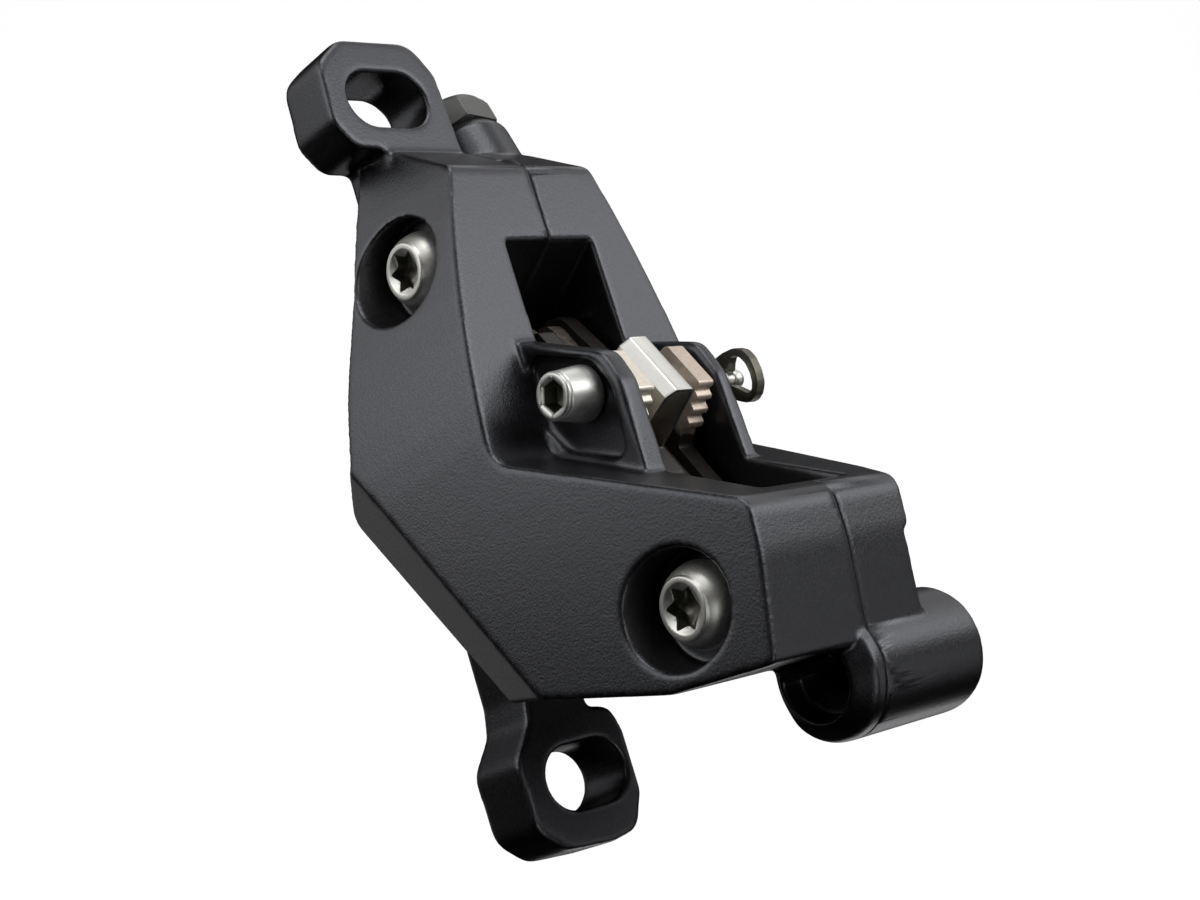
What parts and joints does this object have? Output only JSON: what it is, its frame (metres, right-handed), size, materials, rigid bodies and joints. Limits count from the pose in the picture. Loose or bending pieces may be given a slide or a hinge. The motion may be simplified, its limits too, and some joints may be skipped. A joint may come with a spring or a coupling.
{
  "type": "disc brake caliper",
  "caption": "Bicycle disc brake caliper with bolted halves, slotted ears, opposed pistons, pads on a pin with a clip, a folded pad spring and a hose port.",
  "frame": {"origin": "midpoint between the two mounting bolts' axes, on the plane of the ears' seats", "axes": "+X along the wheel axle from the outer half to the inner half, +Y out of the ears' seats towards the fork or frame, +Z from the lower mounting bolt to the upper one"},
  "size_m": [0.0397, 0.0472, 0.0879],
  "materials": {
    "body_near": "charcoal anodised, satin",
    "body_far": "charcoal anodised, satin",
    "bolt_steel": "satin stainless",
    "piston": "matt moulded resin",
    "seal_rubber": "matt black rubber",
    "backplate": "copper-tinted plated steel",
    "friction": "coarse sintered compound",
    "spring_steel": "polished spring sheet",
    "pin_steel": "fine satin steel",
    "clip_steel": "dark olive-grey phosphated sheet",
    "bleed_screw": "dark grey satin",
    "port_steel": "turned steel"
  },
  "bodies": {
    "caliper": {"near_half": "body_near", "far_half": "body_far", "body_bolt_upper": "bolt_steel", "body_bolt_lower": "bolt_steel", "seal_near_upper": "seal_rubber", "seal_near_lower": "seal_rubber", "seal_far_upper": "seal_rubber", "seal_far_lower": "seal_rubber", "crossover_seal": "seal_rubber", "pad_spring": "spring_steel", "pad_pin": "pin_steel", "bleed_seal": "seal_rubber", "port_fitting": "port_steel", "port_seal": "seal_rubber"},
    "near_pad": {"near_backplate": "backplate", "near_friction": "friction"},
    "far_pad": {"far_backplate": "backplate", "far_friction": "friction"},
    "near_upper_piston": {"piston_near_upper": "piston"},
    "near_lower_piston": {"piston_near_lower": "piston"},
    "far_upper_piston": {"piston_far_upper": "piston"},
    "far_lower_piston": {"piston_far_lower": "piston"},
    "clip": {"pin_clip": "clip_steel"},
    "bleeder": {"bleed_screw": "bleed_screw"}
  },
  "joints": [
    {"name": "near_pad_slide", "type": "slide", "parent": "caliper", "child": "near_pad", "axis": [1, 0, 0], "range_m": [0, 0.0011], "deforming": ["pad_spring"]},
    {"name": "far_pad_slide", "type": "slide", "parent": "caliper", "child": "far_pad", "axis": [-1, 0, 0], "range_m": [0, 0.0011]},
    {"name": "near_upper_piston_slide", "type": "slide", "parent": "caliper", "child": "near_upper_piston", "axis": [1, 0, 0], "range_m": [0, 0.0011]},
    {"name": "near_lower_piston_slide", "type": "slide", "parent": "caliper", "child": "near_lower_piston", "axis": [1, 0, 0], "range_m": [0, 0.0011]},
    {"name": "far_upper_piston_slide", "type": "slide", "parent": "caliper", "child": "far_upper_piston", "axis": [-1, 0, 0], "range_m": [0, 0.0011]},
    {"name": "far_lower_piston_slide", "type": "slide", "parent": "caliper", "child": "far_lower_piston", "axis": [-1, 0, 0], "range_m": [0, 0.0011]},
    {"name": "clip_turn", "type": "hinge", "parent": "caliper", "child": "clip", "pos_m": [0.02, -0.0223, -0.0023], "axis": [1, 0, 0], "continuous": true},
    {"name": "bleed_screw_turn", "type": "hinge", "parent": "caliper", "child": "bleeder", "pos_m": [0.0143, -0.0026, 0.0295], "axis": [0, 0.3, 0.9539], "range_deg": [0, 180]}
  ],
  "couplings": [
    {"joint": "far_pad_slide", "follows": "near_pad_slide", "ratio": 1},
    {"joint": "near_upper_piston_slide", "follows": "near_pad_slide", "ratio": 1},
    {"joint": "near_lower_piston_slide", "follows": "near_pad_slide", "ratio": 1},
    {"joint": "far_upper_piston_slide", "follows": "near_pad_slide", "ratio": 1},
    {"joint": "far_lower_piston_slide", "follows": "near_pad_slide", "ratio": 1}
  ]
}
